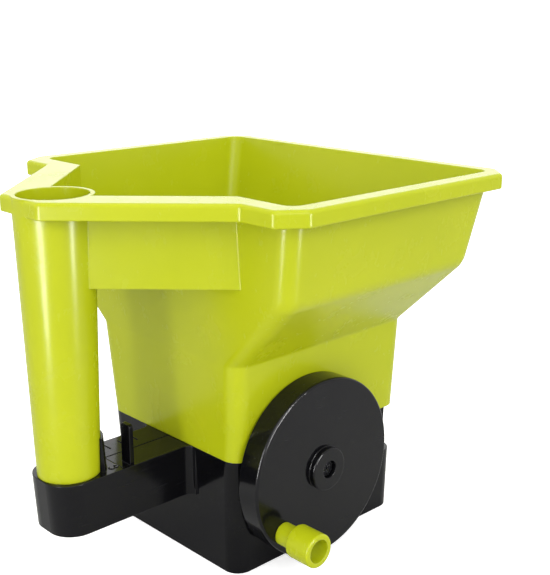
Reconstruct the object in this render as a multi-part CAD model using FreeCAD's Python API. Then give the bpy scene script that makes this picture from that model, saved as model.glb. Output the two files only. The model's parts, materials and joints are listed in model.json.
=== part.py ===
"""Hand-held broadcast spreader with a side crank.

A lime hopper is moulded in one piece with its rim, a hollow V-shaped neck and an upright tube
handle.  It stands on a black base with a rear arm that holds the foot of the tube.  A crank wheel
on the right side carries an internal ring gear.  The ring gear turns a small pinion, a bevel pair
and the spinner under the hopper.  A metering slide in the arm opens and closes the outlet.

Frame: millimetres, +Z up, +X forward (the direction of throw), +Y to the left.
The origin lies on the spinner axis, on the surface the base stands on.
"""

import FreeCAD, Part
import math
import os

Vector = FreeCAD.Vector

# ---------------------------------------------------------------- driving dimensions (mm)

WALL = 2.2                      # moulded wall of the hopper, neck and tube
BASE_WALL = 2.4                 # moulded wall of the base
RUN = 0.05                      # radial clearance of a shaft in its bush
PRESS = 0.02                    # radial clearance of a screw in its pilot hole

# Heights above the standing surface.
SEAM_Z = 61.0                   # joint between the base and the hopper
CREASE_LOW_Z = 110.5            # lower crease, where the side shoulders begin
CREASE_HIGH_Z = 146.5           # upper crease, where the side shoulders end
NECK_Z = 151.0                  # underside of the V-shaped neck
LIP_Z = 184.1                   # lower edge of the rim's lip
TOP_Z = 191.7                   # top of the rim
FLOOR_T = 2.4                   # hopper floor

# Hopper cross-sections: height, back x, front x, half width, corner radius.
HOPPER_LEVELS = [
    (SEAM_Z, -47.6, 69.5, 50.6, 8.5),
    (CREASE_LOW_Z, -50.2, 69.5, 54.0, 8.5),
    (CREASE_HIGH_Z, -54.0, 74.4, 90.5, 8.5),
    (TOP_Z, -55.6, 85.0, 96.0, 8.5),
]
CREASE_LOW_R = 3.0              # rounding along the lower crease
CREASE_HIGH_R = 11.0            # rounding along the upper crease

# Rim.
RIM_BACK = -64.6
RIM_FRONT = 91.0
RIM_HALF = 103.0
RIM_FRONT_CUT = (11.0, 11.0)    # front corner of the rim, cut back along X and Y
RIM_REAR_CUT = (12.5, 9.0)      # rear corner of the rim, cut back along X and Y
RIM_REAR = -123.8               # flat end behind the tube
NECK_RIM = 139.0                # outer flare of the rim: |y| = x + NECK_RIM
NECK_OUT = 116.8                # outer face of the neck wall: |y| = x + NECK_OUT
RIM_ROUND = 3.0                 # plan rounding at each rim corner
RIM_T = 2.4                     # flange thickness
LIP_T = 2.2                     # lip thickness
RIM_EDGE_R = 1.8                # rounding of the rim's upper edge
LIP_EDGE_R = 0.7                # rounding of the lip's lower edge

# Tube handle.
TUBE_X = -106.4
TUBE_R_SEAM = 14.7              # outer radius at the seam height
TUBE_TAPER = 0.0257             # radius gained per millimetre of height
TUBE_FOOT_Z = 42.0              # lower end, inside the socket of the arm
TUBE_FLOOR = 3.0
SPIGOT_R = 12.2                 # narrower foot below the seam, inside the arm's socket
SPIGOT_STEP_T = 2.2             # thickness of the step where the tube meets its spigot

# Base housing.
BASE_BOTTOM = (0.0, -45.2, 70.2, 47.8, 8.5)
BASE_TOP = (SEAM_Z, -47.6, 69.5, 50.6, 8.5)
FRONT_LIP_Z = 34.5              # front wall and the front ends of the side walls are this low
FRONT_OPEN_X = 59.0             # side walls are full height behind this
ARM_HALF = 16.4
ARM_Z = 35.2                    # underside of the arm
ARM_REAR = -121.7               # end of the arm at the seam height
ARM_REAR_LOW = -120.2           # end of the arm at its underside
ARM_CORNER = 12.5
ARM_TOP_T = 4.6                 # thickness of the top of the arm, with the slide's shelf
ARM_BLEND = 4.0                 # concave corner between the arm and the base
COLLAR_TOP_Z = 77.5
COLLAR_R = 17.4                 # outer radius at the seam height
COLLAR_R_TOP = 16.4             # outer radius at the top of the collar
COLLAR_ANGLE = 50.0             # half angle of the raised collar about the tube
SOCKET_GAP = 0.08               # clearance round the foot of the tube

# Metering slide.
SLIDE_Y = (-14.8, 0.2)
SLIDE_T = 1.7
SLIDE_REAR = -86.4
SLIDE_FRONT = -23.0
SLIDE_GAP = 0.2
TAB_X = -81.1
TAB_Y = (-14.8, -8.0)
TAB_T = 2.2
TAB_TOP_Z = 80.7
OUTLET_X = (-21.5, -7.5)
OUTLET_Y = (-13.3, -1.3)
SHELF_T = 2.4

# Decks, posts and screws.
DECK_Z = 33.8
DECK_T = 2.0
COVER_T = 2.2
POSTS = [(-30.0, -30.0), (-30.0, 30.0), (45.0, -30.0), (45.0, 30.0)]
POST_R = 4.0
PILLARS = [(-38.5, -38.5), (-38.5, 38.5), (50.0, -40.5), (50.0, 40.5)]
PILLAR_R = 5.0
PILLAR_TOP_Z = 52.0
SCREW_R = 1.6
SCREW_HEAD_R = 3.0

# Crank wheel, axis along Y.
WHEEL_X = -2.4
WHEEL_Z = 50.9
WHEEL_R = 45.6
WHEEL_BACK = -53.4
WHEEL_FACE = -65.6
WHEEL_EDGE_R = 1.3
WHEEL_SKIN = 2.4
HUB_R = 11.0                    # round boss in the middle of the face
HUB_FACE = WHEEL_FACE - 3.1
HUB_STEM_R = 9.2                # the hub behind the face, around the stub axle
HUB_PLATE_R = 15.7
STUB_R = 6.0
STUB_END = WHEEL_FACE + 3.4
SHOULDER = WHEEL_FACE + 2.0     # floor of the counterbore that the screw head sits in
COUNTERBORE_R = 4.5
PAD_R = 41.0
PAD_FACE = WHEEL_BACK + 0.8

# Knob.
KNOB_RADIUS = 37.8              # distance from the wheel axis
KNOB_ANGLE = 221.5              # degrees from +X towards +Z
KNOB_SMALL_R = 5.6
KNOB_LARGE_R = 8.3
KNOB_STEP = WHEEL_FACE - 9.4
KNOB_END = WHEEL_FACE - 23.8
KNOB_BORE_R = 5.8
KNOB_BORE_FLOOR = WHEEL_FACE - 11.8
PIN_R = 2.0

# Gear train.
MODULE = 1.2
RING_TEETH = 64
PINION_TEETH = 15
PRESSURE = math.radians(20.0)
BACKLASH = 0.14                 # taken off each flank
RING_Y = (WHEEL_FACE + 4.8, WHEEL_FACE + 10.6)
PINION_Y = (WHEEL_FACE + 5.0, WHEEL_FACE + 10.4)
BEVEL_TEETH = 16
BEVEL_R = 10.0
BEVEL_INNER = 0.62              # small end of the bevel teeth, as a fraction of the large end
SHAFT_R = 2.5                   # horizontal drive shaft
SPINDLE_R = 3.0                 # upright spinner shaft

# Spinner and agitator.
DISC_R = 40.0
DISC_Z = 41.0
DISC_T = 2.0
FIN_H = 8.5
FIN_COUNT = 6
AGITATOR_Z = 66.4
AGITATOR_REACH = 28.0

WALL_INNER = -45.6              # inner face of the side wall at the height of the drive shaft
CENTRE_DISTANCE = MODULE * (RING_TEETH - PINION_TEETH) / 2.0
DRIVE_Z = WHEEL_Z - math.sqrt(CENTRE_DISTANCE ** 2 - WHEEL_X ** 2)


# ---------------------------------------------------------------- small helpers

def block(x0, x1, y0, y1, z0, z1):
    return Part.makeBox(x1 - x0, y1 - y0, z1 - z0, Vector(x0, y0, z0))


def rod_z(radius, z0, z1, x=0.0, y=0.0):
    return Part.makeCylinder(radius, z1 - z0, Vector(x, y, z0), Vector(0, 0, 1))


def rod_y(radius, y0, y1, x, z):
    return Part.makeCylinder(radius, y1 - y0, Vector(x, y0, z), Vector(0, 1, 0))


def tube_z(outer, inner, z0, z1, x=0.0, y=0.0):
    return rod_z(outer, z0, z1, x, y).cut(rod_z(inner, z0 - 1, z1 + 1, x, y))


def tube_y(outer, inner, y0, y1, x, z):
    return rod_y(outer, y0, y1, x, z).cut(rod_y(inner, y0 - 1, y1 + 1, x, z))


def cone_z(r0, r1, z0, z1, x=0.0, y=0.0):
    return Part.makeCone(r0, r1, z1 - z0, Vector(x, y, z0), Vector(0, 0, 1))


def rounded_outline(points, radii, z):
    """A closed wire through the points, each corner rounded by its own radius."""
    count = len(points)
    corners = []
    for i in range(count):
        here = Vector(points[i][0], points[i][1], z)
        before = Vector(points[i - 1][0], points[i - 1][1], z)
        after = Vector(points[(i + 1) % count][0], points[(i + 1) % count][1], z)
        into = (before - here).normalize()
        out = (after - here).normalize()
        half = into.getAngle(out) / 2.0
        reach = radii[i] / math.tan(half)
        middle = (into + out).normalize()
        centre = here + middle * (radii[i] / math.sin(half))
        corners.append((here + into * reach, centre - middle * radii[i], here + out * reach))
    edges = []
    for i in range(count):
        start, mid, end = corners[i]
        edges.append(Part.Arc(start, mid, end).toShape())
        edges.append(Part.LineSegment(end, corners[(i + 1) % count][0]).toShape())
    return Part.Wire(edges)


def rectangle(x0, x1, half, radius, z):
    points = [(x0, -half), (x1, -half), (x1, half), (x0, half)]
    return rounded_outline(points, [radius] * 4, z)


def prism(wire, height):
    return Part.Face(wire).extrude(Vector(0, 0, height))


def level_at(levels, z):
    """The cross-section at one height, between two of the given levels."""
    for low, high in zip(levels, levels[1:]):
        if z <= high[0] or high is levels[-1]:
            share = (z - low[0]) / (high[0] - low[0])
            return [z] + [a + share * (b - a) for a, b in zip(low[1:], high[1:])]


def lofted(levels, inset):
    """A solid through rounded rectangles, drawn in by an even inset."""
    wires = []
    for z, x0, x1, half, radius in levels:
        wires.append(rectangle(x0 + inset, x1 - inset, half - inset, max(radius - inset, 1.0), z))
    solid = Part.makeLoft(wires[:2], True, True)
    for pair in zip(wires[1:], wires[2:]):
        solid = solid.fuse(Part.makeLoft(list(pair), True, True))
    return solid.removeSplitter()


def edges_where(shape, test):
    found = []
    for edge in shape.Edges:
        box = edge.BoundBox
        if test(edge, box):
            found.append(edge)
    return found


def circle_edges(shape, radius, y, tolerance=0.01):
    """Round edges of one radius that lie in a plane of constant y."""
    def test(edge, box):
        flat = abs(box.YMin - y) < tolerance and abs(box.YMax - y) < tolerance
        round_edge = hasattr(edge.Curve, "Radius")
        return flat and round_edge and abs(edge.Curve.Radius - radius) < tolerance
    return edges_where(shape, test)


def level_edges(shape, z, tolerance=0.01):
    """Edges that lie flat at one height."""
    def test(edge, box):
        return abs(box.ZMin - z) < tolerance and abs(box.ZMax - z) < tolerance
    return edges_where(shape, test)


def spin_about_y(shape, x, z, degrees):
    turned = shape.copy()
    turned.rotate(Vector(x, 0, z), Vector(0, -1, 0), degrees)
    return turned


def spin_about_z(shape, degrees):
    turned = shape.copy()
    turned.rotate(Vector(0, 0, 0), Vector(0, 0, 1), degrees)
    return turned


def group(shapes):
    return Part.makeCompound(shapes)


def save(name, shape):
    shape.exportStep("parts/" + name + ".step")


# ---------------------------------------------------------------- gear outlines

def involute(angle):
    return math.tan(angle) - angle


def gear_outline(teeth, tip, root, thicken, flank_points=5):
    """Closed spur outline in the XY plane, one tooth centred on +X."""
    pitch = MODULE * teeth / 2.0
    base = pitch * math.cos(PRESSURE)
    start = max(root, base * 1.0005)
    quarter = math.pi / (2 * teeth) + thicken / pitch

    def half_angle(radius):
        return quarter + involute(PRESSURE) - involute(math.acos(min(1.0, base / radius)))

    def point(radius, angle):
        return Vector(radius * math.cos(angle), radius * math.sin(angle), 0)

    edges = []
    for tooth in range(teeth):
        middle = 2 * math.pi * tooth / teeth
        radii = [start + (tip - start) * i / (flank_points - 1) for i in range(flank_points)]
        rising = [point(r, middle - half_angle(r)) for r in radii]
        falling = [point(r, middle + half_angle(r)) for r in reversed(radii)]
        following = middle + 2 * math.pi / teeth
        foot_in = point(root, middle - half_angle(start))
        foot_out = point(root, middle + half_angle(start))
        next_in = point(root, following - half_angle(start))
        if start > root:
            edges.append(Part.LineSegment(foot_in, rising[0]).toShape())
        for side in (rising, falling):
            curve = Part.BSplineCurve()
            curve.interpolate(side)
            edges.append(curve.toShape())
            if side is rising:
                top = point(tip, middle)
                edges.append(Part.Arc(rising[-1], top, falling[0]).toShape())
        if start > root:
            edges.append(Part.LineSegment(falling[-1], foot_out).toShape())
        valley = point(root, middle + math.pi / teeth)
        edges.append(Part.Arc(foot_out, valley, next_in).toShape())
    return Part.Wire(edges)


def bevel_outline(scale, z):
    """Closed outline of the bevel teeth in a plane across their axis, one tooth on +X."""
    pitch = 2 * math.pi / BEVEL_TEETH
    root = BEVEL_R * 0.875
    tip = BEVEL_R * 1.105
    foot = 0.31 * pitch
    crown = 0.125 * pitch
    points = []
    for tooth in range(BEVEL_TEETH):
        middle = pitch * tooth
        for radius, angle in ((root, -foot), (tip, -crown), (tip, crown), (root, foot)):
            turn = middle + angle
            points.append(Vector(scale * radius * math.cos(turn), scale * radius * math.sin(turn), z))
    return Part.makePolygon(points + points[:1])


def bevel_solid(hub_r, hub_length, bore_r):
    """Bevel gear on +Z with its apex at the origin and a hub behind the large end."""
    big = bevel_outline(1.0, BEVEL_R)
    small = bevel_outline(BEVEL_INNER, BEVEL_R * BEVEL_INNER)
    teeth = Part.makeLoft([small, big], True, True)
    hub = rod_z(hub_r, BEVEL_R - 0.5, BEVEL_R + hub_length)
    return teeth.fuse(hub).cut(rod_z(bore_r, 0, BEVEL_R + hub_length + 1))


# ---------------------------------------------------------------- hopper with handle

def tube_radius(z):
    return TUBE_R_SEAM + TUBE_TAPER * (z - SEAM_Z)


def rim_points(inset):
    """Plan of the rim, drawn in by an even inset."""
    back = RIM_BACK + inset
    front = RIM_FRONT - inset
    half = RIM_HALF - inset
    cuts = []
    for cut_x, cut_y in (RIM_FRONT_CUT, RIM_REAR_CUT):
        share = 1 + inset * (math.hypot(1 / cut_x, 1 / cut_y) - 1 / cut_x - 1 / cut_y)
        cuts.append((cut_x * share, cut_y * share))
    front_cut, rear_cut = cuts
    flare = NECK_RIM - inset * math.sqrt(2)
    rear = RIM_REAR + inset
    upper = [
        (front, half - front_cut[1]),
        (front - front_cut[0], half),
        (back + rear_cut[0], half),
        (back, half - rear_cut[1]),
        (back, back + flare),
        (rear, rear + flare),
    ]
    lower = [(x, -y) for x, y in reversed(upper)]
    return upper + lower


def rim_solid(inset, z0, z1):
    points = rim_points(inset)
    radius = max(RIM_ROUND - inset, 1.0)
    return prism(rounded_outline(points, [radius] * len(points), z0), z1 - z0)


def neck_prism(offset, front_x, rear_x, z0, z1):
    points = [
        (front_x, front_x + offset),
        (rear_x, rear_x + offset),
        (rear_x, -rear_x - offset),
        (front_x, -front_x - offset),
    ]
    wire = Part.makePolygon([Vector(x, y, z0) for x, y in points + points[:1]])
    return prism(wire, z1 - z0)


def rounded_levels(levels, radii, steps=6):
    """Cross-sections with an arc in place of each crease of the side profile."""
    result = [levels[0]]
    for before, here, after, radius in zip(levels, levels[1:], levels[2:], radii):
        crease = Vector(here[3], 0, here[0])
        into = (Vector(before[3], 0, before[0]) - crease).normalize()
        out = (Vector(after[3], 0, after[0]) - crease).normalize()
        half = into.getAngle(out) / 2.0
        middle = (into + out).normalize()
        centre = crease + middle * (radius / math.sin(half))
        turn = math.pi - 2 * half
        side = (into - out).normalize()
        for i in range(steps + 1):
            angle = turn * (0.5 - i / steps)
            point = centre - middle * (radius * math.cos(angle)) + side * (radius * math.sin(angle))
            level = level_at(levels, point.z)
            level[3] = point.x
            result.append(level)
    return result + [levels[-1]]


def make_hopper():
    levels = rounded_levels(HOPPER_LEVELS, (CREASE_LOW_R, CREASE_HIGH_R))
    outer = lofted(levels, 0.0)
    floor_level = level_at(HOPPER_LEVELS, SEAM_Z + FLOOR_T)
    over_level = list(HOPPER_LEVELS[-1])
    over_level[0] = TOP_Z + 1.0
    cavity = lofted([floor_level] + levels[1:-1] + [over_level], WALL)

    tube = cone_z(TUBE_R_SEAM, tube_radius(TOP_Z), SEAM_Z, TOP_Z, TUBE_X)
    tube = tube.fuse(rod_z(SPIGOT_R, TUBE_FOOT_Z, SEAM_Z + 1, TUBE_X))
    inner_foot = TUBE_FOOT_Z + TUBE_FLOOR
    step_z = SEAM_Z + SPIGOT_STEP_T
    bore = cone_z(tube_radius(step_z) - WALL, tube_radius(TOP_Z + 1) - 2.0, step_z, TOP_Z + 1, TUBE_X)
    bore = bore.fuse(rod_z(SPIGOT_R - WALL, inner_foot, step_z + 1, TUBE_X))

    neck = neck_prism(NECK_OUT, -50.0, TUBE_X, NECK_Z, TOP_Z)
    inner_offset = NECK_OUT - WALL * math.sqrt(2)
    pocket = neck_prism(inner_offset, -50.0, TUBE_X, NECK_Z + WALL, TOP_Z + 1)
    pocket = pocket.cut(tube)

    rim = rim_solid(0.0, LIP_Z, TOP_Z)
    top_edges = level_edges(rim, TOP_Z)
    rim = rim.makeFillet(RIM_EDGE_R, top_edges)
    low_edges = level_edges(rim, LIP_Z)
    rim = rim.makeFillet(LIP_EDGE_R, low_edges)
    rim = rim.cut(rim_solid(LIP_T, LIP_Z - 1, TOP_Z - RIM_T))

    body = outer.fuse([neck, tube, rim])
    body = body.cut([cavity, pocket, bore])

    # Shaft hole, outlet and the bosses that the base is screwed to.
    body = body.cut(rod_z(5.0, SEAM_Z - 1, SEAM_Z + FLOOR_T + 1))
    body = body.cut(block(OUTLET_X[0], OUTLET_X[1], OUTLET_Y[0], OUTLET_Y[1],
                          SEAM_Z - 1, SEAM_Z + FLOOR_T + 1))
    for x, y in PILLARS:
        body = body.fuse(rod_z(PILLAR_R - 0.6, PILLAR_TOP_Z, SEAM_Z + 0.5, x, y))
        body = body.cut(rod_z(SCREW_R + PRESS, PILLAR_TOP_Z - 1, SEAM_Z, x, y))

    # Boss inside the foot of the tube for the screw from below.
    boss = rod_z(4.5, inner_foot - 0.5, inner_foot + 14, TUBE_X)
    body = body.fuse(boss)
    body = body.cut(rod_z(SCREW_R + PRESS, TUBE_FOOT_Z - 1, inner_foot + 12, TUBE_X))
    return body.removeSplitter()


# ---------------------------------------------------------------- base housing and its plates

def arm_outline(inset, front_x, rear_x, z):
    radius = ARM_CORNER - inset
    points = [
        (front_x, -ARM_HALF + inset),
        (front_x, ARM_HALF - inset),
        (rear_x + inset, ARM_HALF - inset),
        (rear_x + inset, -ARM_HALF + inset),
    ]
    return rounded_outline(points, [0.5, 0.5, radius, radius], z)


def arm_blends():
    """Concave corner fillers between the arm and the back of the base."""
    fillers = []
    wall_x = BASE_TOP[1] + 1.0
    for side in (-1, 1):
        corner_y = side * ARM_HALF
        y0 = min(corner_y, corner_y + side * ARM_BLEND)
        filler = block(wall_x - ARM_BLEND - 1.0, wall_x + 1.0, y0, y0 + ARM_BLEND, ARM_Z, SEAM_Z)
        round_cut = rod_z(ARM_BLEND, ARM_Z - 1, SEAM_Z + 1, wall_x - ARM_BLEND - 1.0,
                          corner_y + side * ARM_BLEND)
        fillers.append(filler.cut(round_cut))
    return fillers


def make_base():
    outer = Part.makeLoft([rectangle(*BASE_BOTTOM[1:], BASE_BOTTOM[0]),
                           rectangle(*BASE_TOP[1:], BASE_TOP[0])], True, True)
    inner_levels = []
    for z, x0, x1, half, radius in (BASE_BOTTOM, BASE_TOP):
        inner_levels.append(rectangle(x0 + BASE_WALL, x1 - BASE_WALL, half - BASE_WALL,
                                      radius - BASE_WALL, z))
    inner = Part.makeLoft(inner_levels, True, True)
    shell = outer.cut(inner)
    shell = shell.cut(block(FRONT_OPEN_X, 90, -60, 60, FRONT_LIP_Z, SEAM_Z + 1))

    # Round pad behind the wheel, and the stub that the wheel turns on.
    pad = rod_y(PAD_R, PAD_FACE, -BASE_BOTTOM[3] + BASE_WALL / 2, WHEEL_X, WHEEL_Z)
    pad = pad.common(block(-60, 60, -60, 0, 1.0, SEAM_Z))
    stub = rod_y(STUB_R, STUB_END, PAD_FACE + 1.0, WHEEL_X, WHEEL_Z)

    # Arm, hollow underneath, with the tapered socket for the foot of the tube.
    arm_front = BASE_TOP[1] + 1.5
    arm = Part.makeLoft([arm_outline(0.0, arm_front, ARM_REAR_LOW, ARM_Z),
                         arm_outline(0.0, arm_front, ARM_REAR, SEAM_Z)], True, True)
    hollow = prism(arm_outline(BASE_WALL, BASE_TOP[1] - BASE_WALL, ARM_REAR_LOW, ARM_Z - 1),
                   SEAM_Z - ARM_TOP_T - ARM_Z + 1)
    socket = rod_z(SPIGOT_R + 2.0, TUBE_FOOT_Z - 3.4, SEAM_Z, TUBE_X)
    socket = socket.common(arm)
    arm = arm.cut(hollow).fuse([socket] + arm_blends())

    collar = cone_z(COLLAR_R, COLLAR_R_TOP, SEAM_Z - 1, COLLAR_TOP_Z, TUBE_X)
    reach = 40.0
    edge_x = reach * math.cos(math.radians(COLLAR_ANGLE))
    edge_y = reach * math.sin(math.radians(COLLAR_ANGLE))
    wedge_points = [(0, 0), (edge_x, -edge_y), (reach * 1.5, -edge_y), (reach * 1.5, edge_y),
                    (edge_x, edge_y)]
    wedge = Part.makePolygon([Vector(TUBE_X + x, y, SEAM_Z - 1)
                              for x, y in wedge_points + wedge_points[:1]])
    collar = collar.common(prism(wedge, COLLAR_TOP_Z - SEAM_Z + 2))

    # Shelf under the hopper floor that the metering slide runs on.
    shelf_z = SEAM_Z - SLIDE_T - 2 * 0.15
    shelf = block(BASE_TOP[1] + 1.0, -4.6, SLIDE_Y[0] - 4.0, SLIDE_Y[1] + 4.0, shelf_z - SHELF_T, shelf_z)
    for edge in (SLIDE_Y[0] - SLIDE_GAP - 2.5, SLIDE_Y[1] + SLIDE_GAP):
        rail = block(BASE_TOP[1] + 1.0, -4.6, edge, edge + 2.5, shelf_z - 0.5, SEAM_Z)
        shelf = shelf.fuse(rail)

    posts = []
    for x, y in POSTS:
        side = 1 if y > 0 else -1
        posts.append(rod_z(POST_R, COVER_T + 0.2, DECK_Z, x, y))
        y0 = min(y, side * (BASE_TOP[3] - 1.0))
        y1 = max(y, side * (BASE_TOP[3] - 1.0))
        posts.append(block(x - 1, x + 1, y0, y1, COVER_T + 0.2, DECK_Z))
    for x, y in PILLARS:
        posts.append(rod_z(PILLAR_R, COVER_T + 0.2, PILLAR_TOP_Z, x, y))
    posts = [post.common(outer) for post in posts]

    body = shell.fuse([pad, stub, arm, collar, shelf] + posts)

    # Slide channel through the top of the arm and the back wall.
    channel = block(SLIDE_REAR - 0.4, BASE_TOP[1] + 4.0, SLIDE_Y[0] - SLIDE_GAP,
                    SLIDE_Y[1] + SLIDE_GAP, shelf_z, SEAM_Z + 0.5)
    outlet = block(OUTLET_X[0] - 0.5, OUTLET_X[1] + 0.5, OUTLET_Y[0] - 0.5, OUTLET_Y[1] + 0.5,
                   shelf_z - SHELF_T - 1, SEAM_Z + 1)
    socket_hole = rod_z(SPIGOT_R + SOCKET_GAP, TUBE_FOOT_Z, SEAM_Z + 1, TUBE_X)
    collar_hole = cone_z(TUBE_R_SEAM + SOCKET_GAP, tube_radius(COLLAR_TOP_Z + 1) + SOCKET_GAP,
                         SEAM_Z, COLLAR_TOP_Z + 1, TUBE_X)
    cuts = [channel, outlet, socket_hole, collar_hole]
    cuts.append(rod_z(SCREW_R + 0.4, ARM_Z - 1, TUBE_FOOT_Z + 1, TUBE_X))
    cuts.append(rod_y(SCREW_R + 0.3, STUB_END - 1, WALL_INNER, WHEEL_X, WHEEL_Z))
    cuts.append(rod_y(4.5, PAD_FACE - 1, WALL_INNER + 3, 0, DRIVE_Z))
    for x, y in POSTS:
        cuts.append(rod_z(SCREW_R + PRESS, 0, COVER_T + 11, x, y))
        cuts.append(rod_z(SCREW_R + PRESS, DECK_Z - 9, DECK_Z + 1, x, y))
    for x, y in PILLARS:
        cuts.append(rod_z(SCREW_R + 0.4, 0, PILLAR_TOP_Z + 1, x, y))
        cuts.append(rod_z(SCREW_HEAD_R + 0.4, 0, PILLAR_TOP_Z - 10, x, y))
    return body.cut(cuts).removeSplitter()


def inner_plate(z, thickness, gap):
    """A plate that fits inside the base and goes in through its open bottom."""
    x0 = BASE_BOTTOM[1]
    x1 = level_at([BASE_BOTTOM, BASE_TOP], z + thickness)[2]
    half = BASE_BOTTOM[3]
    inset = BASE_WALL + gap
    return prism(rectangle(x0 + inset, x1 - inset, half - inset, BASE_BOTTOM[4] - BASE_WALL, z), thickness)


def make_bottom_cover():
    plate = inner_plate(0.0, COVER_T, 0.2)
    ring = tube_z(7.0, 5.0, COVER_T - 0.5, COVER_T + 5.0)
    plate = plate.fuse(ring)
    for x, y in POSTS:
        plate = plate.cut(rod_z(SCREW_R + 0.2, -1, COVER_T + 1, x, y))
        plate = plate.cut(rod_z(SCREW_HEAD_R + 0.3, -1, 1.2, x, y))
    return plate


def make_gear_deck():
    plate = inner_plate(DECK_Z, DECK_T, 0.3)
    for x, y in PILLARS:
        plate = plate.cut(rod_z(PILLAR_R + 0.4, DECK_Z - 1, DECK_Z + DECK_T + 1, x, y))
        corner = block(min(x, x * 2), max(x, x * 2), min(y, y * 2), max(y, y * 2),
                       DECK_Z - 1, DECK_Z + DECK_T + 1)
        plate = plate.cut(corner)
    for x, y in POSTS:
        plate = plate.cut(rod_z(SCREW_R + 0.2, DECK_Z - 1, DECK_Z + DECK_T + 1, x, y))
    for x in (-11.0, 11.0):
        plate = plate.cut(rod_z(1.4, DECK_Z - 1, DECK_Z + DECK_T + 1, x, -18.0))
    return plate.cut(rod_z(5.0, DECK_Z - 1, DECK_Z + DECK_T + 1))


# ---------------------------------------------------------------- screws, pins, bushes

def screw_up(x, y, head_z, shank_top, shank_r=SCREW_R, head_r=SCREW_HEAD_R, head_t=1.1):
    """Screw that points up; its head hangs below head_z."""
    head = rod_z(head_r, head_z - head_t, head_z, x, y)
    shank = rod_z(shank_r, head_z - 0.1, shank_top, x, y)
    slot = cross_slot(x, y, head_z - head_t - 0.1, head_z - head_t + 0.6, head_r)
    return head.fuse(shank).cut(slot)


def screw_down(x, y, head_z, shank_bottom, shank_r=SCREW_R, head_r=SCREW_HEAD_R, head_t=1.5):
    head = rod_z(head_r, head_z, head_z + head_t, x, y)
    shank = rod_z(shank_r, shank_bottom, head_z + 0.1, x, y)
    slot = cross_slot(x, y, head_z + head_t - 0.7, head_z + head_t + 0.1, head_r)
    return head.fuse(shank).cut(slot)


def cross_slot(x, y, z0, z1, head_r):
    arm = head_r * 0.62
    bar = block(x - arm, x + arm, y - 0.35, y + 0.35, z0, z1)
    return bar.fuse(block(x - 0.35, x + 0.35, y - arm, y + arm, z0, z1))


def make_cover_screws():
    return group([screw_up(x, y, 1.2, COVER_T + 10) for x, y in POSTS])


def make_deck_screws():
    return group([screw_down(x, y, DECK_Z + DECK_T, DECK_Z - 8) for x, y in POSTS])


def make_hopper_screws():
    head_z = PILLAR_TOP_Z - 10
    return group([screw_up(x, y, head_z, SEAM_Z - 1.5, head_t=2.2) for x, y in PILLARS])


def make_tube_screw():
    return screw_up(TUBE_X, 0, TUBE_FOOT_Z - 3.4, TUBE_FOOT_Z + 12, head_t=2.0)


def make_bracket_screws():
    return group([screw_down(x, -18.0, DECK_Z + DECK_T, DECK_Z - 4.5, 1.3, 2.4, 1.2)
                  for x in (-11.0, 11.0)])


def make_wheel_screw():
    head_y = SHOULDER - 0.9
    head = rod_y(3.7, head_y - 2.2, head_y, WHEEL_X, WHEEL_Z)
    shank = rod_y(SCREW_R + 0.28, head_y - 0.1, WALL_INNER - 4.0, WHEEL_X, WHEEL_Z)
    body = head.fuse(shank)
    for angle in (0, 90):
        bar = block(WHEEL_X - 2.3, WHEEL_X + 2.3, head_y - 2.3, head_y - 1.2, WHEEL_Z - 0.45, WHEEL_Z + 0.45)
        body = body.cut(spin_about_y(bar, WHEEL_X, WHEEL_Z, angle + 20))
    return body


def make_wheel_washer():
    return tube_y(4.3, SCREW_R + 0.35, SHOULDER - 0.9, SHOULDER - 0.05, WHEEL_X, WHEEL_Z)


def make_wall_bush():
    body = tube_y(4.48, SHAFT_R + RUN, PAD_FACE - 0.3, WALL_INNER + 1.8, 0, DRIVE_Z)
    flange = tube_y(6.2, SHAFT_R + RUN, WALL_INNER + 0.3, WALL_INNER + 1.8, 0, DRIVE_Z)
    return body.fuse(flange)


def make_deck_bush():
    body = tube_z(4.98, SPINDLE_R + RUN, DECK_Z, DECK_Z + DECK_T + 1.4)
    flange = tube_z(7.0, SPINDLE_R + RUN, DECK_Z + DECK_T, DECK_Z + DECK_T + 1.4)
    return body.fuse(flange)


def make_floor_bush():
    return tube_z(4.98, SPINDLE_R + RUN, COVER_T + 0.02, COVER_T + 5.4)


def make_hopper_bush():
    body = tube_z(4.98, SPINDLE_R + RUN, SEAM_Z + 0.1, SEAM_Z + FLOOR_T + 1.6)
    flange = tube_z(7.2, SPINDLE_R + RUN, SEAM_Z + FLOOR_T, SEAM_Z + FLOOR_T + 1.6)
    return body.fuse(flange)


def make_shaft_bracket():
    plate = block(-7.5, 7.5, -20.0, -16.0, DRIVE_Z - 7.0, DECK_Z)
    plate = plate.fuse(block(-14.5, 14.5, -23.5, -12.6, DECK_Z - 2.5, DECK_Z))
    for side in (-1, 1):
        web = Part.makePolygon([Vector(side * 7.0, -19.0, DRIVE_Z - 5), Vector(side * 13.5, -19.0, DECK_Z - 2),
                                Vector(side * 7.0, -19.0, DECK_Z - 2), Vector(side * 7.0, -19.0, DRIVE_Z - 5)])
        plate = plate.fuse(Part.Face(web).extrude(Vector(0, 2.0, 0)))
    plate = plate.cut(rod_y(SHAFT_R + RUN, -25, -10, 0, DRIVE_Z))
    for x in (-11.0, 11.0):
        plate = plate.cut(rod_z(1.3 + PRESS, DECK_Z - 5, DECK_Z + 1, x, -18.0))
    return plate


# ---------------------------------------------------------------- crank wheel and knob

def wheel_to_knob():
    turn = math.radians(KNOB_ANGLE)
    return WHEEL_X + KNOB_RADIUS * math.cos(turn), WHEEL_Z + KNOB_RADIUS * math.sin(turn)


def mesh_angle():
    """Direction from the wheel axis to the drive shaft, in degrees from +X towards +Z."""
    return math.degrees(math.atan2(DRIVE_Z - WHEEL_Z, -WHEEL_X))


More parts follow.
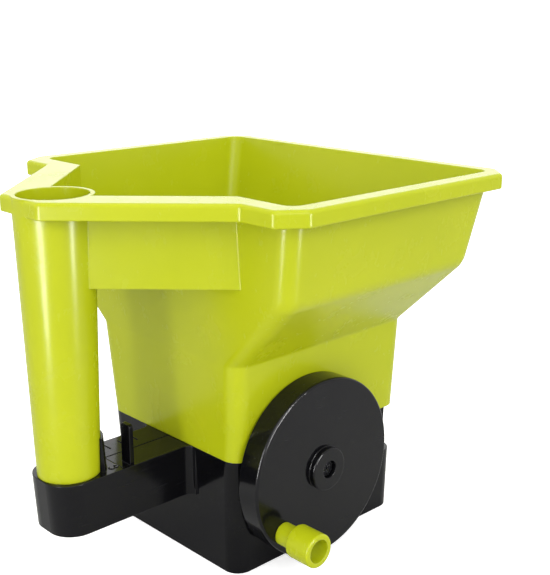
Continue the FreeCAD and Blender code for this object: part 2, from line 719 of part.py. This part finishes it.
def stand_up(shape, x, z, degrees, y):
    """Turn a flat outline into the XZ plane at height y, rotated about its own centre."""
    turned = shape.copy()
    turned.rotate(Vector(0, 0, 0), Vector(1, 0, 0), 90)
    turned.rotate(Vector(0, 0, 0), Vector(0, -1, 0), degrees)
    turned.translate(Vector(x, y, z))
    return turned


def make_crank_wheel():
    x, z = WHEEL_X, WHEEL_Z
    disc = rod_y(WHEEL_R, WHEEL_FACE, WHEEL_BACK, x, z)
    disc = disc.makeFillet(WHEEL_EDGE_R, circle_edges(disc, WHEEL_R, WHEEL_FACE))
    disc = disc.cut(rod_y(WHEEL_R - 2.5, WHEEL_FACE + WHEEL_SKIN, WHEEL_BACK + 1, x, z))

    ring = rod_y(WHEEL_R - 2.2, RING_Y[0], RING_Y[1], x, z)
    pitch = MODULE * RING_TEETH / 2.0
    cutter_wire = gear_outline(RING_TEETH, pitch + 1.25 * MODULE, pitch - 0.85 * MODULE, BACKLASH)
    cutter = Part.Face(cutter_wire).extrude(Vector(0, 0, RING_Y[1] - RING_Y[0] + 2))
    cutter = stand_up(cutter, x, z, mesh_angle(), RING_Y[1] + 1)
    ring = ring.cut(cutter)

    back_plate = rod_y(HUB_PLATE_R, WHEEL_FACE + 1.0, WHEEL_FACE + 2 * WHEEL_SKIN, x, z)
    hub = rod_y(HUB_R, HUB_FACE, WHEEL_FACE + WHEEL_SKIN, x, z)
    hub = hub.makeFillet(0.8, circle_edges(hub, HUB_R, HUB_FACE))
    stem = rod_y(HUB_STEM_R, WHEEL_FACE + 1.0, WHEEL_BACK, x, z)
    body = disc.fuse([ring, back_plate, hub, stem])

    body = body.cut(rod_y(STUB_R + RUN, STUB_END - RUN, WHEEL_BACK + 1, x, z))
    body = body.cut(rod_y(SCREW_R + 0.6, SHOULDER - 1, STUB_END, x, z))
    body = body.cut(rod_y(COUNTERBORE_R, HUB_FACE - 1, SHOULDER, x, z))
    kx, kz = wheel_to_knob()
    body = body.cut(rod_y(PIN_R, WHEEL_FACE - 1, RING_Y[0] - 0.5, kx, kz))
    return body


def make_knob_pin():
    kx, kz = wheel_to_knob()
    inner_face = WHEEL_FACE + WHEEL_SKIN
    head = rod_y(3.4, inner_face, inner_face + 1.5, kx, kz)
    shank = rod_y(PIN_R, KNOB_BORE_FLOOR - 2.0, inner_face + 0.5, kx, kz)
    return head.fuse(shank)


def make_knob_clip():
    kx, kz = wheel_to_knob()
    ring = tube_y(4.4, PIN_R, KNOB_BORE_FLOOR - 1.0, KNOB_BORE_FLOOR - 0.1, kx, kz)
    for angle in (45, 165, 285):
        notch = rod_y(0.7, KNOB_BORE_FLOOR - 2, KNOB_BORE_FLOOR, kx + 2.6, kz)
        ring = ring.cut(spin_about_y(notch, kx, kz, angle))
    return ring


def make_crank_knob():
    kx, kz = wheel_to_knob()
    small = rod_y(KNOB_SMALL_R, KNOB_STEP - 0.5, WHEEL_FACE - 0.1, kx, kz)
    large = rod_y(KNOB_LARGE_R, KNOB_END, KNOB_STEP, kx, kz)
    large = large.makeFillet(0.9, circle_edges(large, KNOB_LARGE_R, KNOB_END))
    large = large.makeFillet(1.0, circle_edges(large, KNOB_LARGE_R, KNOB_STEP))
    body = small.fuse(large)
    body = body.cut(rod_y(KNOB_BORE_R, KNOB_END - 1, KNOB_BORE_FLOOR, kx, kz))
    return body.cut(rod_y(PIN_R + RUN, KNOB_END, WHEEL_FACE + 1, kx, kz))


# ---------------------------------------------------------------- gear train

def make_drive_pinion():
    pitch = MODULE * PINION_TEETH / 2.0
    wire = gear_outline(PINION_TEETH, pitch + 0.9 * MODULE, pitch - 1.2 * MODULE, -BACKLASH)
    teeth = Part.Face(wire).extrude(Vector(0, 0, PINION_Y[1] - PINION_Y[0]))
    teeth = stand_up(teeth, 0, DRIVE_Z, mesh_angle(), PINION_Y[1])
    return teeth.cut(rod_y(SHAFT_R, PINION_Y[0] - 1, PINION_Y[1] + 1, 0, DRIVE_Z))


def make_drive_shaft():
    return rod_y(SHAFT_R, PINION_Y[0] - 0.8, -BEVEL_R * BEVEL_INNER, 0, DRIVE_Z)


def make_drive_clip():
    return tube_y(4.4, SHAFT_R, WALL_INNER + 2.2, WALL_INNER + 3.1, 0, DRIVE_Z)


def make_bevel_pinion():
    gear = bevel_solid(6.0, 4.5, SHAFT_R)
    gear.rotate(Vector(0, 0, 0), Vector(0, 0, 1), 180.0 / BEVEL_TEETH)
    gear.rotate(Vector(0, 0, 0), Vector(1, 0, 0), 90)
    gear.translate(Vector(0, 0, DRIVE_Z))
    return gear


def make_bevel_gear():
    gear = bevel_solid(7.0, 1.8, SPINDLE_R)
    gear.translate(Vector(0, 0, DRIVE_Z))
    return gear


def make_spinner_shaft():
    shaft = rod_z(SPINDLE_R, COVER_T + 0.05, AGITATOR_Z + 11.0)
    tip = level_edges(shaft, AGITATOR_Z + 11.0)
    return shaft.makeChamfer(0.8, tip)


def make_spinner_disc():
    disc = rod_z(DISC_R, DISC_Z, DISC_Z + DISC_T)
    rim = tube_z(DISC_R, DISC_R - 1.6, DISC_Z, DISC_Z + DISC_T + 0.8)
    hub = rod_z(7.0, DISC_Z - 2.5, DISC_Z + DISC_T + FIN_H)
    cap = cone_z(11.0, 7.0, DISC_Z + DISC_T, DISC_Z + DISC_T + 4.0)
    body = disc.fuse([rim, hub, cap])
    for i in range(FIN_COUNT):
        fin = block(6.0, DISC_R - 0.8, -0.9, 0.9, DISC_Z + DISC_T - 0.3, DISC_Z + DISC_T + FIN_H)
        slope = Part.makePolygon([Vector(24, -2, DISC_Z + DISC_T + FIN_H + 0.1),
                                  Vector(DISC_R + 1, -2, DISC_Z + DISC_T + FIN_H + 0.1),
                                  Vector(DISC_R + 1, -2, DISC_Z + DISC_T + 3.5),
                                  Vector(24, -2, DISC_Z + DISC_T + FIN_H + 0.1)])
        fin = fin.cut(Part.Face(slope).extrude(Vector(0, 4, 0)))
        body = body.fuse(spin_about_z(fin, 360.0 * i / FIN_COUNT + 15))
    return body.cut(rod_z(SPINDLE_R, DISC_Z - 5, DISC_Z + DISC_T + FIN_H + 1))


def make_agitator():
    hub = rod_z(6.5, AGITATOR_Z, AGITATOR_Z + 8)
    body = hub
    for i in range(3):
        finger = Part.makeCylinder(1.8, AGITATOR_REACH - 4, Vector(4, 0, AGITATOR_Z + 2.6), Vector(1, 0, 0))
        upright = rod_z(1.8, AGITATOR_Z + 2.6, AGITATOR_Z + 11, AGITATOR_REACH)
        elbow = Part.makeSphere(1.8, Vector(AGITATOR_REACH, 0, AGITATOR_Z + 2.6))
        piece = finger.fuse([upright, elbow])
        body = body.fuse(spin_about_z(piece, 120 * i + 40))
    return body.cut(rod_z(SPINDLE_R, AGITATOR_Z - 1, AGITATOR_Z + 9))


def make_agitator_clip():
    return tube_z(5.4, SPINDLE_R, AGITATOR_Z + 8.1, AGITATOR_Z + 9.1)


# ---------------------------------------------------------------- metering slide

def make_slide():
    low = SEAM_Z - 0.15 - SLIDE_T
    high = SEAM_Z - 0.15
    strip = block(SLIDE_REAR, SLIDE_FRONT, SLIDE_Y[0], SLIDE_Y[1], low, high)
    tab = block(TAB_X - TAB_T / 2, TAB_X + TAB_T / 2, TAB_Y[0], TAB_Y[1], high - 0.5, TAB_TOP_Z)
    top = edges_where(tab, lambda edge, box: box.ZMin > TAB_TOP_Z - 0.01 and box.XMax - box.XMin > 1)
    tab = tab.makeFillet(1.5, top)
    return strip.fuse(tab)


# ---------------------------------------------------------------- build

PARTS = {
    "hopper_handle": make_hopper,
    "base_housing": make_base,
    "bottom_cover": make_bottom_cover,
    "gear_deck": make_gear_deck,
    "crank_wheel": make_crank_wheel,
    "wheel_screw": make_wheel_screw,
    "wheel_washer": make_wheel_washer,
    "crank_knob": make_crank_knob,
    "knob_pin": make_knob_pin,
    "knob_clip": make_knob_clip,
    "drive_pinion": make_drive_pinion,
    "drive_shaft": make_drive_shaft,
    "drive_clip": make_drive_clip,
    "wall_bush": make_wall_bush,
    "shaft_bracket": make_shaft_bracket,
    "bevel_pinion": make_bevel_pinion,
    "bevel_gear": make_bevel_gear,
    "spinner_shaft": make_spinner_shaft,
    "floor_bush": make_floor_bush,
    "deck_bush": make_deck_bush,
    "hopper_bush": make_hopper_bush,
    "spinner_disc": make_spinner_disc,
    "agitator": make_agitator,
    "agitator_clip": make_agitator_clip,
    "metering_slide": make_slide,
    "cover_screws": make_cover_screws,
    "deck_screws": make_deck_screws,
    "bracket_screws": make_bracket_screws,
    "hopper_screws": make_hopper_screws,
    "tube_screw": make_tube_screw,
}

os.makedirs("parts", exist_ok=True)
for node_name, maker in PARTS.items():
    save(node_name, maker())
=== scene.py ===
"""Looks of the hand-held broadcast spreader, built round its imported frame."""

import json
import math

import bmesh
import bpy
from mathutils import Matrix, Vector


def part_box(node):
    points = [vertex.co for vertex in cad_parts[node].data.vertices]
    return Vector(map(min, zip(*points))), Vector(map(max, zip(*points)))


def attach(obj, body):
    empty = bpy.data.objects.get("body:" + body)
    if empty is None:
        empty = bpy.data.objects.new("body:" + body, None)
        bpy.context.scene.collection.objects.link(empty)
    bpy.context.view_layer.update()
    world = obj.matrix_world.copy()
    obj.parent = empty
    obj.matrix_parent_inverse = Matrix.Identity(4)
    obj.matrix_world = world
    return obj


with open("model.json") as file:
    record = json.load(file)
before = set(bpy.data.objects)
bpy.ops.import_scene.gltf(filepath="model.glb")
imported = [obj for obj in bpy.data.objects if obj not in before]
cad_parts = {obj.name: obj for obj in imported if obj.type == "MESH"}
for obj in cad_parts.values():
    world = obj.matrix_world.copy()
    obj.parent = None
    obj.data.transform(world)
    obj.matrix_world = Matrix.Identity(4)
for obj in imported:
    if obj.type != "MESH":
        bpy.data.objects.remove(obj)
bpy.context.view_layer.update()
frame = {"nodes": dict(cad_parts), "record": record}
nodes = frame["nodes"]

# Plastics. Colours are linear light, and lengths are metres.
LIME_DARK = (0.448, 0.498, 0.0065)
LIME_LIGHT = (0.483, 0.528, 0.0095)
LIME_SPECK = (0.40, 0.46, 0.003)
LIME_WORN = (0.68, 0.73, 0.12)
LIME_SHINE = 0.26
BLACK_DARK = (0.0026, 0.0026, 0.0034)
BLACK_LIGHT = (0.0042, 0.0041, 0.0052)
BLACK_WORN = (0.06, 0.06, 0.065)
BLACK_SHINE = 0.20
WHEEL_PAINTED_SHEEN = 0.27              # painted sheen: a glossier copy of the black plastic, standing in for the stronger light on the wheel's side
DUST = (0.16, 0.16, 0.16)
NYLON_DARK = (0.74, 0.72, 0.64)
NYLON_LIGHT = (0.82, 0.80, 0.73)

# Metals.
ZINC = ((0.52, 0.53, 0.55), (0.66, 0.67, 0.68))
# Painted shade: near-black steel for the hub screw, standing in for the dark of its deep hole.
BLACK_STEEL_SHADE = ((0.010, 0.010, 0.012), (0.028, 0.028, 0.032))
BRONZE = ((0.36, 0.23, 0.09), (0.50, 0.33, 0.14))
BARE_STEEL = (0.70, 0.71, 0.72)
BRONZE_PORE = (0.10, 0.06, 0.03)
BRONZE_GRAIN = 2400.0           # pores per metre, as a texture scale

# How a rounded normal turns into an edge mask: full wear below, none above.
WORN_BELOW = 0.80
FRESH_ABOVE = 0.995

# Marks on the arm.
ARM_TOP = 0.061                 # height of the arm's top face
MARK_SINK = 0.0001              # how far a mark reaches into the face
MARK_RISE = 0.00035
TICK_X = (-0.0785, -0.0705, -0.0625)
TICK_FROM_SLIDE = (0.0065, 0.0120)
TICK_WIDTH = 0.0006
DIGIT_PLACE = (-0.0893, -0.0113)
DIGIT_WIDTH = 0.0008

# Studio.
FLOOR_GLOW = 0.62               # glow of the white floor that the camera sees
BACKDROP_GLOW = 1.05            # glow of the wall behind the object
WORLD_GLOW = 1.00               # glow of the surroundings
FLOOR_DROP = 0.0002             # how far the seen floor lies below the object
TABLE_DROP = 0.0004
FLOOR_RINGS = (0.5, 2.0, 8.0, 40.0)
FLOOR_SIDES = 48
BACKDROP_RADIUS = 1.5
BACKDROP_HEIGHT = 1.0
BACKDROP_MIDDLE = 46.4          # degrees from +X towards +Y
BACKDROP_REACH = 38.0           # degrees to each side of the middle
BACKDROP_STEPS = 24

# Camera.
CAMERA_PLACE = (-0.335, -0.3794, 0.270)
CAMERA_DOWN = 15.57             # degrees below the horizon
CAMERA_TURN = 46.42             # degrees from +X towards +Y
CAMERA_LENS = 63.48
CAMERA_SENSOR = 36.0


# ---------------------------------------------------------------- node helpers

class Tree:
    """Small wrapper round a material's node tree."""

    def __init__(self, name):
        self.material = bpy.data.materials.new(name)
        self.material.use_nodes = True
        self.nodes = self.material.node_tree.nodes
        self.links = self.material.node_tree.links
        self.shader = self.nodes["Principled BSDF"]
        self.place = self.nodes.new("ShaderNodeTexCoord").outputs["Object"]

    def set(self, **values):
        """Fixed values of the shader, with _ for each space in an input's name."""
        for key, value in values.items():
            self.shader.inputs[key.replace("_", " ")].default_value = value

    def link(self, source, target):
        self.links.new(source, target)

    def drive(self, key, source):
        """Feed one input of the shader from a node."""
        self.link(source, self.shader.inputs[key])

    def noise(self, scale, detail=3.0, rough=0.55, stretch=None):
        node = self.nodes.new("ShaderNodeTexNoise")
        node.inputs["Scale"].default_value = scale
        node.inputs["Detail"].default_value = detail
        node.inputs["Roughness"].default_value = rough
        source = self.place
        if stretch:
            mapping = self.nodes.new("ShaderNodeMapping")
            mapping.inputs["Scale"].default_value = stretch
            self.link(source, mapping.inputs["Vector"])
            source = mapping.outputs["Vector"]
        self.link(source, node.inputs["Vector"])
        return node.outputs["Fac"]

    def cells(self, scale):
        node = self.nodes.new("ShaderNodeTexVoronoi")
        node.inputs["Scale"].default_value = scale
        self.link(self.place, node.inputs["Vector"])
        return node.outputs["Distance"]

    def span(self, value, from_low, from_high, low, high):
        """Carry a value from one range to another, held at both ends."""
        node = self.nodes.new("ShaderNodeMapRange")
        node.inputs["From Min"].default_value = from_low
        node.inputs["From Max"].default_value = from_high
        node.inputs["To Min"].default_value = low
        node.inputs["To Max"].default_value = high
        self.link(value, node.inputs["Value"])
        return node.outputs["Result"]

    def maths(self, operation, a, b):
        node = self.nodes.new("ShaderNodeMath")
        node.operation = operation
        for socket, value in zip(node.inputs, (a, b)):
            if isinstance(value, (int, float)):
                socket.default_value = value
            else:
                self.link(value, socket)
        return node.outputs["Value"]

    def mix(self, amount, a, b):
        """Blend two colours, each a tuple or a node's output."""
        node = self.nodes.new("ShaderNodeMix")
        node.data_type = "RGBA"
        colours = [s for s in node.inputs if s.type == "RGBA"]
        for socket, value in zip(colours, (a, b)):
            if isinstance(value, tuple):
                socket.default_value = (*value, 1.0)
            else:
                self.link(value, socket)
        self.link(amount, node.inputs["Factor"])
        return [s for s in node.outputs if s.type == "RGBA"][0]

    def bump(self, height, strength, distance, below=None):
        node = self.nodes.new("ShaderNodeBump")
        node.inputs["Strength"].default_value = strength
        node.inputs["Distance"].default_value = distance
        self.link(height, node.inputs["Height"])
        if below is not None:
            self.link(below, node.inputs["Normal"])
        return node.outputs["Normal"]

    def soft_edges(self, radius):
        """Normal that is rounded along every sharp edge."""
        bevel = self.nodes.new("ShaderNodeBevel")
        bevel.samples = 6
        bevel.inputs["Radius"].default_value = radius
        return bevel.outputs["Normal"]

    def edge_mask(self, normal):
        """1 along edges, 0 on open faces, from a normal rounded along the edges."""
        geometry = self.nodes.new("ShaderNodeNewGeometry")
        dot = self.nodes.new("ShaderNodeVectorMath")
        dot.operation = "DOT_PRODUCT"
        self.link(normal, dot.inputs[0])
        self.link(geometry.outputs["Normal"], dot.inputs[1])
        return self.span(dot.outputs["Value"], FRESH_ABOVE, WORN_BELOW, 0.0, 1.0)

    def worn(self, base, normal, amount, colour):
        """The base colour with its edges rubbed towards another colour."""
        return self.mix(self.maths("MULTIPLY", self.edge_mask(normal), amount), base, colour)


# ---------------------------------------------------------------- materials

def lime_plastic():
    """Moulded lime plastic with a faint grain, some cloudiness and paler edges."""
    t = Tree("lime_plastic")
    wide = t.noise(14.0, 3.0)
    fine = t.noise(900.0, 2.0)
    base = t.mix(t.span(wide, 0.35, 0.65, 0.0, 1.0), LIME_DARK, LIME_LIGHT)
    base = t.mix(t.span(fine, 0.42, 0.62, 0.0, 0.07), base, LIME_SPECK)
    round_normal = t.soft_edges(0.0008)
    t.drive("Base Color", t.worn(base, round_normal, 0.35, LIME_WORN))
    rough = t.span(t.noise(60.0, 4.0), 0.3, 0.7, 0.21, 0.29)
    scuff = t.span(t.noise(420.0, 3.0, 0.6, (1.0, 1.0, 0.4)), 0.56, 0.76, 0.0, 0.03)
    t.drive("Roughness", t.maths("ADD", rough, scuff))
    grain = t.bump(t.noise(2600.0, 2.0), 0.10, 0.00006, round_normal)
    t.drive("Normal", t.bump(t.noise(38.0, 2.0), 0.10, 0.0006, grain))
    t.set(IOR=1.49, Specular_IOR_Level=LIME_SHINE, Subsurface_Weight=0.12,
          Subsurface_Radius=(0.004, 0.0045, 0.001), Subsurface_Scale=1.0)
    return t.material


def black_plastic(name, shine):
    """Smooth black plastic with hairlines, a little dust and greyer edges."""
    t = Tree(name)
    cloud = t.noise(22.0, 4.0)
    base = t.mix(t.span(cloud, 0.35, 0.65, 0.0, 1.0), BLACK_DARK, BLACK_LIGHT)
    dust = t.span(t.cells(420.0), 0.0, 0.09, 0.45, 0.0)
    rare = t.span(t.noise(95.0, 2.0), 0.60, 0.66, 0.0, 1.0)
    base = t.mix(t.maths("MULTIPLY", dust, rare), base, DUST)
    round_normal = t.soft_edges(0.0006)
    t.drive("Base Color", t.worn(base, round_normal, 0.22, BLACK_WORN))
    rough = t.span(t.noise(45.0, 4.0), 0.3, 0.7, 0.10, 0.19)
    hairline = t.span(t.noise(700.0, 2.0, 0.6, (0.06, 1.0, 1.0)), 0.60, 0.72, 0.0, 0.14)
    t.drive("Roughness", t.maths("ADD", rough, hairline))
    peel = t.bump(t.noise(330.0, 2.0), 0.05, 0.0002, round_normal)
    t.drive("Normal", t.bump(t.noise(30.0, 2.0), 0.10, 0.0006, peel))
    t.set(IOR=1.50, Specular_IOR_Level=shine)
    return t.material


def steel(name, dark, light):
    """Turned steel, brighter where its edges are rubbed."""
    t = Tree(name)
    base = t.mix(t.noise(180.0, 3.0), dark, light)
    t.drive("Base Color", t.worn(base, t.soft_edges(0.0003), 0.4, BARE_STEEL))
    t.drive("Roughness", t.span(t.noise(500.0, 4.0), 0.3, 0.7, 0.22, 0.42))
    t.drive("Normal", t.bump(t.noise(1500.0, 2.0), 0.12, 0.00005))
    t.set(Metallic=1.0)
    return t.material


def bronze():
    """Sintered bronze with open pores."""
    t = Tree("sintered_bronze")
    base = t.mix(t.noise(300.0, 3.0), *BRONZE)
    pores = t.span(t.cells(BRONZE_GRAIN), 0.0, 0.25, 1.0, 0.0)
    t.drive("Base Color", t.mix(t.maths("MULTIPLY", pores, 0.5), base, BRONZE_PORE))
    t.drive("Roughness", t.span(t.noise(400.0, 3.0), 0.3, 0.7, 0.35, 0.55))
    t.drive("Normal", t.bump(t.cells(BRONZE_GRAIN), 0.2, 0.00008))
    t.set(Metallic=1.0)
    return t.material


def nylon():
    """Undyed nylon, slightly see-through in the light."""
    t = Tree("natural_nylon")
    t.drive("Base Color", t.mix(t.noise(40.0, 3.0), NYLON_DARK, NYLON_LIGHT))
    t.drive("Roughness", t.span(t.noise(200.0, 3.0), 0.3, 0.7, 0.38, 0.52))
    t.drive("Normal", t.bump(t.noise(1800.0, 2.0), 0.15, 0.00006))
    t.set(Subsurface_Weight=0.2, Subsurface_Radius=(0.003, 0.003, 0.0025), Subsurface_Scale=1.0)
    return t.material


MATERIALS = {
    "lime_plastic": lime_plastic(),
    "black_plastic": black_plastic("black_plastic", BLACK_SHINE),
    "steel": steel("zinc_steel", *ZINC),
    # The near-black steel on the hub screw is painted shade for its deep hole.
    "black_steel": steel("black_steel_painted_shade", *BLACK_STEEL_SHADE),
    "nylon": nylon(),
    "brass": bronze(),
}


def dress(obj, material):
    obj.data.materials.clear()
    obj.data.materials.append(material)


for entry in frame["record"]["subparts"]:
    dress(nodes[entry["node"]], MATERIALS[entry["material_slot"]])
# The wheel gets its own glossier copy of the black plastic, a painted sheen for the stronger
# light on its side.
dress(nodes["crank_wheel"], black_plastic("black_plastic_wheel_sheen_copy", WHEEL_PAINTED_SHEEN))


# ---------------------------------------------------------------- meshes

def make_object(name, bm):
    """Turn a finished bmesh into an object in the scene."""
    mesh = bpy.data.meshes.new(name)
    bm.to_mesh(mesh)
    bm.free()
    obj = bpy.data.objects.new(name, mesh)
    bpy.context.scene.collection.objects.link(obj)
    return obj


def stroke(bm, path, width, low, high):
    """A raised bar that follows a path in plan, with sloping sides and closed ends."""
    foot, crest = 0.5, 0.32      # half widths of the bar, as parts of its width
    rows = []
    for i, point in enumerate(path):
        before = path[max(i - 1, 0)]
        after = path[min(i + 1, len(path) - 1)]
        along = (Vector(after) - Vector(before)).normalized()
        across = Vector((-along.y, along.x))
        here = Vector(point)
        row = []
        for side, z in ((foot, low), (crest, high), (-crest, high), (-foot, low)):
            spot = here + across * (side * width)
            row.append(bm.verts.new((spot.x, spot.y, z)))
        rows.append(row)
    for first, second in zip(rows, rows[1:]):
        for k in range(4):
            n = (k + 1) % 4
            bm.faces.new((first[k], first[n], second[n], second[k]))
    bm.faces.new(rows[0][::-1])
    bm.faces.new(rows[-1])


def bow(centre, radius, start, end):
    """Points along an arc, from one angle to another in degrees."""
    steps = 12
    points = []
    for i in range(steps + 1):
        angle = math.radians(start + (end - start) * i / steps)
        points.append((centre[0] + radius * math.cos(angle),
                       centre[1] + radius * math.sin(angle)))
    return points


# ---------------------------------------------------------------- raised marks on the arm

def arm_marks():
    """Ticks along the slide and the digit 3, raised on the arm's top face."""
    bm = bmesh.new()
    low, high = ARM_TOP - MARK_SINK, ARM_TOP + MARK_RISE
    slide_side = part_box("metering_slide")[1][1]
    for x in TICK_X:
        ends = [(x, slide_side + away) for away in TICK_FROM_SLIDE]
        stroke(bm, ends, TICK_WIDTH, low, high)
    # The digit is read from behind, with its top towards the front.
    left, foot = DIGIT_PLACE[1], DIGIT_PLACE[0]
    upper = bow((0.0, 0.0011), 0.0011, 200, -90)
    lower = bow((0.0, -0.0012), 0.0013, 90, -160)
    for path in (upper, lower):
        stroke(bm, [(foot + y, left - x) for x, y in path], DIGIT_WIDTH, low, high)
    bmesh.ops.recalc_face_normals(bm, faces=bm.faces)
    obj = make_object("arm_marks", bm)
    dress(obj, MATERIALS["black_plastic"])
    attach(obj, "housing")


arm_marks()


# ---------------------------------------------------------------- studio

def matte_white(name, dark, light, glow):
    """Matt studio surface that varies a little between two greys, and may glow."""
    t = Tree(name)
    t.drive("Base Color", t.mix(t.noise(3.0, 2.0), (dark,) * 3, (light,) * 3))
    t.set(Roughness=0.9, Emission_Color=(1.0, 1.0, 1.0, 1.0), Emission_Strength=glow)
    return t.material


def glow_white(name, glow):
    """Lit paper, a little uneven."""
    t = Tree(name)
    t.drive("Emission Color", t.mix(t.noise(2.0, 2.0), (0.98,) * 3, (1.0,) * 3))
    t.set(Roughness=0.9, Emission_Strength=glow)
    return t.material


def studio_floor(name, drop, material):
    """Wide pale floor that meets the white surroundings at the horizon."""
    bm = bmesh.new()
    middle = bm.verts.new((0.0, 0.0, 0.0))
    rings = []
    for radius in FLOOR_RINGS:
        ring = []
        for k in range(FLOOR_SIDES):
            angle = 2 * math.pi * k / FLOOR_SIDES
            ring.append(bm.verts.new((radius * math.cos(angle), radius * math.sin(angle), 0.0)))
        rings.append(ring)
    for k in range(FLOOR_SIDES):
        n = (k + 1) % FLOOR_SIDES
        bm.faces.new((middle, rings[0][k], rings[0][n]))
        for inner, outer in zip(rings, rings[1:]):
            bm.faces.new((inner[k], outer[k], outer[n], inner[n]))
    obj = make_object(name, bm)
    obj.location.z = -drop
    dress(obj, material)
    return obj


def backdrop():
    """Curved white wall behind the object, as wide as the view."""
    bm = bmesh.new()
    columns = []
    for k in range(BACKDROP_STEPS + 1):
        away = BACKDROP_REACH * (2.0 * k / BACKDROP_STEPS - 1.0)
        angle = math.radians(BACKDROP_MIDDLE + away)
        foot = (BACKDROP_RADIUS * math.cos(angle), BACKDROP_RADIUS * math.sin(angle))
        columns.append([bm.verts.new((*foot, z)) for z in (0.0, BACKDROP_HEIGHT)])
    for left, right in zip(columns, columns[1:]):
        bm.faces.new((left[0], left[1], right[1], right[0]))
    obj = make_object("studio_backdrop", bm)
    dress(obj, glow_white("backdrop_white", BACKDROP_GLOW))


def softbox(name, place, aim, size, power):
    """Rectangular lamp that the camera doesn't see."""
    data = bpy.data.lights.new(name, "AREA")
    data.shape = "RECTANGLE"
    data.size, data.size_y = size
    data.energy = power
    obj = bpy.data.objects.new(name, data)
    bpy.context.scene.collection.objects.link(obj)
    obj.location = place
    obj.rotation_euler = (Vector(aim) - Vector(place)).to_track_quat("-Z", "Y").to_euler()
    obj.visible_camera = False
    return obj


def make_floors():
    """A bright floor for the camera, and a quieter one just under it that lights the object."""
    seen = studio_floor("studio_floor", FLOOR_DROP,
                        matte_white("floor_white", 0.89, 0.91, FLOOR_GLOW))
    seen.visible_diffuse = False
    seen.visible_glossy = False
    seen.visible_shadow = False
    table = studio_floor("studio_table", TABLE_DROP, matte_white("table_pale", 0.59, 0.63, 0.0))
    table.visible_camera = False


def make_lights():
    middle = (0.0, 0.0, 0.1)
    softbox("key", (-0.55, -1.25, 0.80), middle, (1.0, 1.0), 8.8)
    softbox("rear", (-0.80, -0.11, 0.20), middle, (0.12, 0.30), 0.9)
    softbox("top", (-0.15, -0.15, 1.3), middle, (0.7, 0.7), 2.2)
    # Two narrow softboxes, one each side of the camera, draw highlights on bends and tube.
    strip, strip_power = (0.07, 0.24), 2.0
    strips = (softbox("box_rear", (-0.45, -0.11, 0.13), (-0.1, 0.0, 0.13), strip, strip_power),
              softbox("box_side", (0.03, -0.47, 0.13), (-0.05, -0.05, 0.13), strip, strip_power))
    for lamp in strips:
        lamp.visible_diffuse = False


def make_surroundings():
    world = bpy.data.worlds.new("studio")
    world.use_nodes = True
    back = world.node_tree.nodes["Background"]
    back.inputs["Color"].default_value = (1.0, 1.0, 1.0, 1.0)
    back.inputs["Strength"].default_value = WORLD_GLOW
    scene = bpy.context.scene
    scene.world = world
    scene.view_settings.view_transform = "Standard"
    scene.view_settings.look = "None"


def make_camera():
    data = bpy.data.cameras.new("camera")
    data.sensor_width = CAMERA_SENSOR
    data.lens = CAMERA_LENS
    data.clip_start = 0.01
    data.clip_end = 100.0
    obj = bpy.data.objects.new("camera", data)
    bpy.context.scene.collection.objects.link(obj)
    obj.location = CAMERA_PLACE
    obj.rotation_euler = (math.radians(90.0 - CAMERA_DOWN), 0.0,
                          math.radians(CAMERA_TURN - 90.0))
    bpy.context.scene.camera = obj


make_floors()
backdrop()
make_surroundings()
make_lights()
make_camera()
